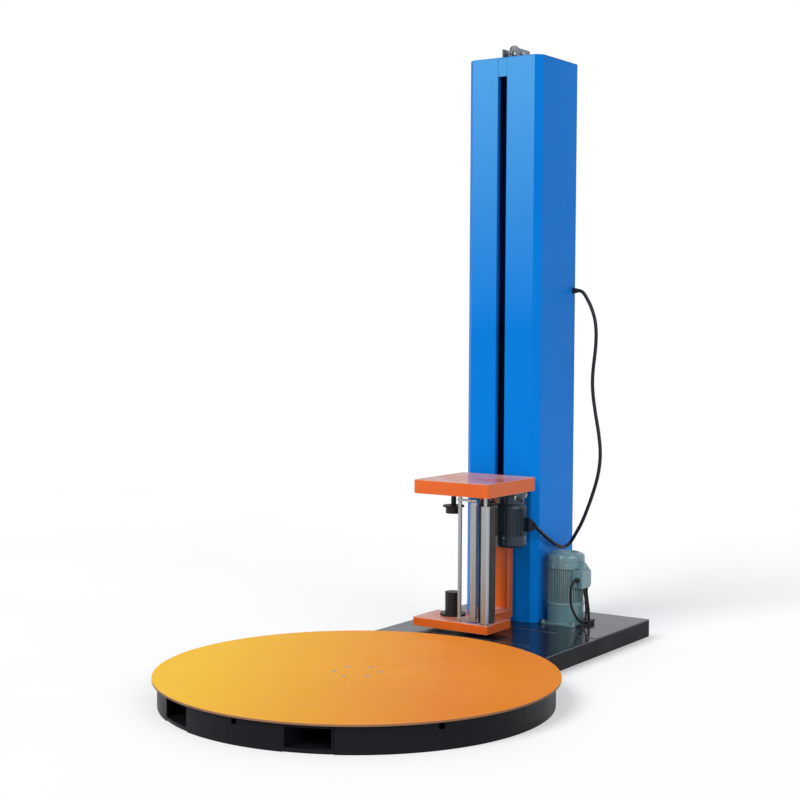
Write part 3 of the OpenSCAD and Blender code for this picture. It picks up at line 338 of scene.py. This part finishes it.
def paint(name, base, deep, edge, gloss=(0.34, 0.46), peel=0.05, coat=0.15, bevel=0.0015, dust_and_sheen=0.0, grain=420,
          cloud=1.3, shine=0.5, tint=(1, 1, 1, 1), rub_and_highlight=(0.25, 0.85), lit_foot=None, head=None, left=None,
          corner_highlight=False, dust_and_sheen_tone=srgb(150, 146, 138), side_shade_tone=None):
    """Painted steel: slow changes of tone, fine orange peel, worn edges, and dusty specks on level tops; on
    the carriage the specks are a painted pale sheen, and its pale edges a painted highlight.

    base and deep are the paint's two tones, and edge the tone of its worn edges, which on the carriage and the
    table's disc is also a painted highlight along them. rub_and_highlight is how strongly they are worn and
    painted pale, gloss the roughness, each as the least and the greatest. cloud is how fine the slow changes
    are, and grain how fine the orange peel. lit_foot is a brighter tone towards the floor, painted light
    against the shade there, and head a painted whitish highlight on the front towards the top; both are given,
    or neither. left is a painted warm light on the piece's left front, and side_shade_tone painted shade on
    its upright faces. With corner_highlight, each upright corner towards +X and +Y gets a painted highlight in
    the edge tone too.
    """
    m = Look(name).value(Coat_Weight=coat, Coat_Roughness=0.12, Specular_IOR_Level=shine, Specular_Tint=tint)
    colour = m.mix(m.ramp(m.noise(cloud, 4), 0.35, 0.68), base, deep)
    # Painted light along the height: a brighter tone towards the floor, against the shade there, and a painted
    # whitish highlight on the front faces towards the top.
    if lit_foot and head:
        colour = m.mix(m.ramp(m.along("Z"), 1.5, 0.2), colour, lit_foot)
        top_highlight_mask = m.math("MULTIPLY", m.ramp(m.along("Z"), 1.5, 2.8), m.facing("Y", -0.8, -0.98))
        colour = m.mix(top_highlight_mask, colour, head)
    # Painted warm light from the left: a yellower tone towards the piece's left front, which turns with the
    # piece.
    if left:
        across = m.math("ADD", m.math("MULTIPLY", m.along("X"), 0.87), m.math("MULTIPLY", m.along("Y"), 0.5))
        colour = m.mix(m.ramp(across, 0.35, -0.7), colour, left)
    stains = m.ramp(m.noise(34, 5, 0.65), 0.52, 0.78, 0, 0.16)
    colour = m.mix(stains, colour, deep)
    normal, rim = m.edges(bevel)
    # Painted highlight: each upright corner towards +X and +Y made pale like the edges.
    if corner_highlight:
        corner_highlight_mask = m.math("MULTIPLY", m.facing("X", 0.3, 0.6), m.facing("Y", 0.3, 0.6))
        rim = m.math("MAXIMUM", rim, corner_highlight_mask)
    # Pale edges: wear, and on the carriage and the table's disc a painted highlight.
    wear_and_highlight = m.math("MULTIPLY", rim, m.ramp(m.noise(60, 4), 0.38, 0.62, *rub_and_highlight))
    colour = m.mix(wear_and_highlight, colour, edge)
    # Painted shade: the upright faces darkened to a brown tone.
    if side_shade_tone:
        colour = m.mix(m.facing("Z", 0.72, 0.55), colour, side_shade_tone)
    # Pale dusty specks on level tops, and on the carriage a painted pale sheen over its top.
    if dust_and_sheen:
        dust_and_sheen_mask = m.math("MULTIPLY", m.facing("Z"), m.ramp(m.noise(5, 6, 0.7), 0.4, 0.75, 0.15 * dust_and_sheen, dust_and_sheen))
        colour = m.mix(dust_and_sheen_mask, colour, dust_and_sheen_tone)
    rough = m.ramp(m.noise(9, 5, 0.6), 0.3, 0.7, *gloss)
    normal = m.bump(m.noise(grain, 2), peel, 0.0006, normal)
    return m.finish(colour, rough, normal)


def steel(name, base, deep, gloss):
    """Machined or plated steel: a fine grain of two tones, stains, and bright edges."""
    m = Look(name).value(Metallic=1.0)
    grain = m.noise(500, 4, 0.6)
    colour = m.mix(m.ramp(grain, 0.3, 0.7), base, deep)
    stains = m.ramp(m.noise(26, 5, 0.7), 0.55, 0.8, 0, 0.35)
    colour = m.mix(stains, colour, deep)
    normal, rim = m.edges(0.0006)
    colour = m.mix(m.math("MULTIPLY", rim, 0.4), colour, srgb(225, 227, 230))
    rough = m.ramp(m.noise(70, 4), 0.3, 0.7, *gloss)
    return m.finish(colour, rough, m.bump(grain, 0.06, 0.0004, normal))


def plastic(name, base, deep, gloss, grain=900, strength=0.08, shine=0.4):
    """Moulded nylon, rubber or cable sheath: grain is how fine its surface is, and strength how rough."""
    m = Look(name).value(Specular_IOR_Level=shine)
    colour = m.mix(m.ramp(m.noise(14, 4), 0.35, 0.7), base, deep)
    normal, rim = m.edges(0.0006)
    colour = m.mix(m.math("MULTIPLY", rim, 0.25), colour, srgb(96, 96, 100))
    rough = m.ramp(m.noise(40, 4), 0.3, 0.7, *gloss)
    return m.finish(colour, rough, m.bump(m.noise(grain, 2), strength, 0.0003, normal))


look()

# ---------- free cables, along the same routes as in the CAD source ----------

sheath = plastic("cable_sheath", srgb(12, 14, 18), srgb(20, 22, 27), (0.34, 0.5), shine=0.25)
carriage_route = [
    (0.095, 1.700, 1.690), (0.104, 1.700, 1.690), (0.126, 1.698, 1.680), (0.150, 1.694, 1.650),
    (0.181, 1.688, 1.596), (0.205, 1.680, 1.523), (0.211, 1.672, 1.427), (0.202, 1.662, 1.290),
    (0.206, 1.656, 1.200), (0.223, 1.650, 1.105), (0.247, 1.644, 0.993), (0.259, 1.638, 0.897),
    (0.251, 1.632, 0.800), (0.221, 1.626, 0.690), (0.179, 1.622, 0.580), (0.142, 1.620, 0.510),
    (0.112, 1.618, 0.462), (0.100, 1.595, 0.445), (0.098, 1.555, 0.447), (0.098, 1.490, 0.468),
    (0.098, 1.400, 0.512), (0.098, 1.306, 0.566), (0.098, 1.292, 0.574)]
front_route = [
    (0.265, 1.383, 0.321), (0.264, 1.374, 0.3195), (0.259, 1.368, 0.310), (0.254, 1.363, 0.285),
    (0.253, 1.360, 0.240), (0.257, 1.361, 0.203), (0.267, 1.366, 0.174), (0.277, 1.378, 0.148),
    (0.284, 1.402, 0.126), (0.286, 1.430, 0.121), (0.285, 1.452, 0.135), (0.283, 1.462, 0.162),
    (0.280, 1.462, 0.215), (0.274, 1.456, 0.268)]
rear_route = [
    (0.274, 1.482, 0.268), (0.274, 1.482, 0.254), (0.278, 1.484, 0.216), (0.282, 1.486, 0.180),
    (0.284, 1.487, 0.150), (0.284, 1.487, 0.131), (0.284, 1.487, 0.1202)]


def cable(name, route, radius, node):
    """A free cable in place of its CAD node."""
    line = smooth_line(route, CABLE_STEPS)
    o = new_object(name, tube(name, line, radius), sheath)
    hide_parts(node)
    if node == "carriage_cable":
        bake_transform(o)
    else:
        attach(o, "base")


cable("cable_to_carriage", carriage_route, CARRIAGE_CABLE_R, "carriage_cable")
cable("cable_table_motor_front", front_route, MOTOR_CABLE_R, "motor_cable_front")
cable("cable_table_motor_rear", rear_route, MOTOR_CABLE_R, "motor_cable_rear")

# ---------- finishes of the CAD parts ----------

# Blue: its brighter tone towards the floor is painted light, and its pale tone high on the front a painted
# highlight.
blue = paint("blue_powder_coat", srgb(8, 116, 204), srgb(6, 110, 197), srgb(30, 130, 216), gloss=(0.36, 0.46),
             coat=0, shine=0.12, tint=(0.1, 0.4, 1, 1), bevel=0.004, rub_and_highlight=(0.05, 0.4),
             lit_foot=srgb(5, 124, 220), head=srgb(76, 150, 212))
# Its dark brown upright rim is painted shade, and its pale edges a painted highlight over some wear.
# Table orange: its yellower left front is painted warm light, and turns with the table.
orange = paint("table_orange_paint", srgb(240, 144, 44), srgb(232, 134, 36), srgb(244, 222, 190),
               gloss=(0.4, 0.52), coat=0, shine=0.05, dust_and_sheen=0.05, cloud=0.9, bevel=0.003, rub_and_highlight=(0.3, 0.6),
               left=srgb(255, 200, 48), side_shade_tone=srgb(132, 98, 76))
# Carriage orange: its pale edges and each upright corner are a painted highlight.
carriage_paint = paint("carriage_orange_paint", srgb(212, 100, 36), srgb(202, 88, 28), srgb(250, 214, 190),
                       gloss=(0.3, 0.4), coat=0.35, shine=0.08, bevel=0.004, rub_and_highlight=(0.6, 1.0), corner_highlight=True,
                       # Its strong pinkish specks are a painted pale sheen on the top.
                       dust_and_sheen=0.8, dust_and_sheen_tone=srgb(214, 196, 200))
black = paint("black_paint", srgb(20, 21, 26), srgb(14, 15, 20), srgb(46, 50, 58), gloss=(0.36, 0.5), coat=0,
              shine=0.1, dust_and_sheen=0.02)
deck_black = paint("black_deck_paint", srgb(26, 32, 42), srgb(18, 23, 32), srgb(150, 158, 168),
                   gloss=(0.12, 0.22), coat=0, shine=0.3, dust_and_sheen=0.03, bevel=0.0025, rub_and_highlight=(0.5, 0.95))
rail_black = paint("black_rail_paint", srgb(8, 11, 18), srgb(5, 8, 14), srgb(40, 46, 58), gloss=(0.36, 0.5),
                   coat=0, shine=0.08, dust_and_sheen=0.02)
green = paint("motor_enamel", srgb(94, 130, 140), srgb(80, 114, 124), srgb(186, 206, 208), gloss=(0.16, 0.26),
              coat=0.35, peel=0.1, grain=300, bevel=0.0018)
# Painted shade: the stretch motor and its gearbox in a darker copy of the motor green.
shaded_green = paint("stretch_motor_enamel_shaded", srgb(38, 58, 76), srgb(28, 46, 62), srgb(110, 130, 140),
                   gloss=(0.24, 0.34), shine=0.3, coat=0.15, peel=0.1, grain=300, bevel=0.0012)
plated = steel("plated_steel", srgb(176, 180, 184), srgb(150, 154, 160), (0.28, 0.42))
grey_steel = steel("bearing_steel", srgb(152, 156, 166), srgb(108, 112, 122), (0.26, 0.4))
dark = steel("blackened_steel", srgb(74, 76, 82), srgb(52, 54, 60), (0.36, 0.52))
nylon = plastic("black_nylon_moulded", srgb(16, 18, 21), srgb(24, 26, 30), (0.36, 0.5), shine=0.3)
# Painted shade: the stretch motor's terminal box in near black, for the shade behind the motor.
box_shade_dark = plastic("terminal_box_shaded_dark", srgb(14, 26, 38), srgb(10, 20, 30), (0.44, 0.56), shine=0.05)
rubber = plastic("roller_rubber", srgb(40, 40, 42), srgb(54, 54, 56), (0.6, 0.75), grain=600, strength=0.12)
red = plastic("red_plastic", srgb(196, 26, 24), srgb(180, 20, 18), (0.22, 0.32))
go_green = plastic("green_plastic", srgb(32, 140, 64), srgb(26, 124, 54), (0.22, 0.32))

# by the record's material slots, and by node where a part looks different from the rest of its slot; the
# stretch motor's, its gearbox's and its terminal box's difference is painted shade
finish_of = {"black_paint": black, "table_orange": orange, "mast_blue": blue,
             "carriage_orange": carriage_paint, "motor_green": green, "bare_steel": plated, "dark_steel": dark,
             "black_nylon": nylon, "roller_rubber": rubber, "signal_red": red, "signal_green": go_green}
special = {"head_bearings": grey_steel, "stretch_terminal_box": box_shade_dark, "stretch_gearbox": shaded_green,
           "stretch_motor": shaded_green, "mast_base_plate": deck_black, "deck_covers": deck_black,
           "deck_frame": rail_black}
for part in frame["record"]["subparts"]:
    o = nodes[part["node"]]
    material = special.get(part["node"], finish_of[part["material_slot"]])
    if not o.material_slots:
        o.data.materials.append(material)
    for s in o.material_slots:
        s.material = material
    shade(o.data, CAD_CREASE_DEG)

# ---------- fine pieces on the machine ----------

def corners_of(node):
    return (Vector(v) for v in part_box(node))


def middle(node):
    low, high = corners_of(node)
    return (low + high) / 2


def pan_screw(name, place, out, r, body):
    """A pan-headed screw with a round recess, its head standing out of the sheet."""
    sunk = -0.001
    profile = [(0, sunk), (r, sunk), (r, 0.25 * r), (0.86 * r, 0.5 * r), (0.5 * r, 0.68 * r),
               (0.2 * r, 0.7 * r), (0.12 * r, 0.35 * r), (0, 0.35 * r)]
    return new_object(name, lathe(name, profile, place, out, 24, 50), plated, body)


def fan_grille(name, centre, r, body, finish):
    """Six rings and six wires across them over the fan's air intake, one mesh that reaches to 0.95 of r."""
    bm = bmesh.new()
    for i in range(6):
        mesh = ring("grille_ring", centre, r * (0.2 + 0.15 * i), GRILLE_RING_R)
        bm.from_mesh(mesh)
        bpy.data.meshes.remove(mesh)
    for i in range(6):
        side = round_about(centre, r, 30 * i)[1]
        near, far = (Vector(centre) + k * r * 0.95 * side for k in (-1, 1))
        mesh = tube("grille_spoke", [near, (near + far) / 2, far], GRILLE_SPOKE_R, WIRE_SIDES)
        bm.from_mesh(mesh)
        bpy.data.meshes.remove(mesh)
    return new_object(name, from_bmesh(bm, name, 60), finish, body)


def table_drive_details():
    low, high = corners_of("table_motor")
    at = middle("table_motor")
    cover_r = (high.x - low.x) / 2
    for i in range(4):
        place, out = round_about(at, cover_r, FAN_SCREW_START_DEG + 90 * i)
        place.z = high.z - FAN_SCREW_DROP
        pan_screw("fan_cover_screw_%d" % (i + 1), place, out, FAN_SCREW_R, "base")
    bead = ring("fan_cover_bead", (at.x, at.y, high.z - BEAD_DROP), cover_r - BEAD_SINK, BEAD_R)
    new_object("fan_cover_bead", bead, green, "base")
    fan_grille("fan_cover_grille", (at.x, at.y, high.z + GRILLE_RISE), cover_r - GRILLE_MARGIN, "base", green)
    low, high = corners_of("table_terminal_box")
    lid_screws = ((low.y + 0.012, low.z + 0.012), (high.y - 0.012, low.z + 0.018),
                  (low.y + 0.012, low.z + 0.07), (high.y - 0.014, low.z + 0.068))
    for i, (y, z) in enumerate(lid_screws):
        pan_screw("terminal_lid_screw_%d" % (i + 1), (high.x, y, z), (1, 0, 0), LID_SCREW_R, "base")


def stretch_drive_details():
    low, high = corners_of("stretch_motor")
    at = middle("stretch_motor")
    cover_r = (high.x - low.x) / 2
    for i in range(4):
        place, out = round_about(at, cover_r, STRETCH_SCREW_START_DEG + 90 * i)
        place.z = low.z + STRETCH_SCREW_RISE
        pan_screw("stretch_cover_screw_%d" % (i + 1), place, out, STRETCH_SCREW_R, "carriage")
    washer_r, nut_r, stud_r = 0.0088, 0.0076, 0.0044
    nut = [(0, 0), (washer_r, 0), (washer_r, 0.002), (nut_r, 0.002), (nut_r, 0.0072), (stud_r, 0.0076),
           (stud_r, 0.0184), (0, 0.0188)]
    for i, (x, y) in enumerate(((-1, -1), (-1, 1), (1, -1), (1, 1))):
        name = "stretch_flange_nut_%d" % (i + 1)
        place = (at.x + STUD_OFFSET * x, at.y + STUD_OFFSET * y, STUD_TOP)
        new_object(name, lathe(name, nut, place, (0, 0, -1), 24, 40), plated, "carriage")
    # from a flange nut round the casting to the terminal box: degrees, distance from the motor's axis, height
    wire = [Vector((at.x + 0.040, at.y - 0.055, 0.722))]
    for degrees, r, z in ((-30, 0.0705, 0.714), (-12, 0.0710, 0.706), (4, 0.0745, 0.697), (18, 0.0780, 0.686),
                          (26, 0.0785, 0.668), (28, 0.0785, 0.645), (26, 0.0800, 0.626), (22, 0.0830, 0.620)):
        place = round_about(at, r, degrees)[0]
        place.z = z
        wire.append(place)
    mesh = tube("stretch_earth_wire", smooth_line(wire, WIRE_STEPS), EARTH_WIRE_R, 10)
    new_object("stretch_earth_wire", mesh, sheath, "carriage")


def mast_details():
    at = middle("head_sprocket")
    washer_r, nut_r, axle_r = 0.016, 0.0135, 0.0102
    nut = [(0, 0), (washer_r, 0), (washer_r, 0.002), (nut_r, 0.002), (nut_r, 0.008), (0.0105, 0.010),
           (axle_r, 0.0112), (0, 0.0112)]
    for side, out in (("left", -1), ("right", 1)):
        name = "head_axle_nut_" + side
        place = (at.x + out * CHEEK_FACE, at.y, at.z)
        new_object(name, lathe(name, nut, place, (out, 0, 0), 6, 20), plated, "base")
    half, hub_r, face_r = 0.0145, 0.0215, 0.0205
    hub = lathe("head_sprocket_hub", [(0, -half), (face_r, -half), (hub_r, -0.012), (hub_r, 0.012),
                                      (face_r, half), (0, half)], at, (1, 0, 0), 40, 40)
    new_object("head_sprocket_hub", hub, plated, "head_sprocket")


table_drive_details()
stretch_drive_details()
mast_details()

# ---------- floor, world and light ----------

def surroundings():
    """A white floor that the camera sees as evenly as the world, and two soft suns.

    The world is plain white to the camera, brighter in glossy reflections than in its light on matt faces.
    """
    bm = bmesh.new()
    bmesh.ops.create_grid(bm, x_segments=4, y_segments=4, size=FLOOR_HALF)
    mesh = bpy.data.meshes.new("floor")
    bm.to_mesh(mesh)
    bm.free()
    m = Look("floor_white").value(Specular_IOR_Level=0.1, Emission_Color=(1, 1, 1, 1), Emission_Strength=0.42)
    colour = m.mix(m.ramp(m.noise(0.7, 3), 0.3, 0.7), srgb(206, 206, 206), srgb(203, 203, 204))
    floor = new_object("floor", mesh, m.finish(colour, m.ramp(m.noise(3, 4), 0.3, 0.7, 0.6, 0.75)))
    floor.location.z = -FLOOR_GAP

    world = bpy.data.worlds.new("studio")
    world.use_nodes = True
    tree = world.node_tree
    soft = tree.nodes["Background"]
    soft.inputs["Color"].default_value = (0.96, 0.98, 1.0, 1)
    seen = tree.nodes.new("ShaderNodeLightPath")
    strength = tree.nodes.new("ShaderNodeMapRange")
    strength.inputs["To Min"].default_value = WORLD_ON_MATT
    strength.inputs["To Max"].default_value = WORLD_ON_GLOSSY
    tree.links.new(seen.outputs["Is Glossy Ray"], strength.inputs["Value"])
    tree.links.new(strength.outputs["Result"], soft.inputs["Strength"])
    white = tree.nodes.new("ShaderNodeBackground")
    white.inputs["Color"].default_value = (1, 1, 1, 1)
    white.inputs["Strength"].default_value = 1.0
    mixed = tree.nodes.new("ShaderNodeMixShader")
    tree.links.new(seen.outputs["Is Camera Ray"], mixed.inputs[0])
    tree.links.new(soft.outputs[0], mixed.inputs[1])
    tree.links.new(white.outputs[0], mixed.inputs[2])
    tree.links.new(mixed.outputs[0], tree.nodes["World Output"].inputs[0])
    scene.world = world

    def sun(name, towards, strength, angle, colour):
        data = bpy.data.lights.new(name, "SUN")
        data.energy, data.angle, data.color = strength, math.radians(angle), colour
        o = bpy.data.objects.new(name, data)
        o.rotation_mode = "QUATERNION"
        o.rotation_quaternion = Vector(towards).to_track_quat("Z", "Y")
        scene.collection.objects.link(o)

    sun("key", (-0.14, -0.74, 0.66), 2.3, 30, (1.0, 0.985, 0.96))
    sun("fill", (0.85, -0.35, 0.42), 0.95, 40, (0.94, 0.97, 1.0))


surroundings()
scene.view_settings.view_transform = "Standard"
scene.view_settings.look = "None"
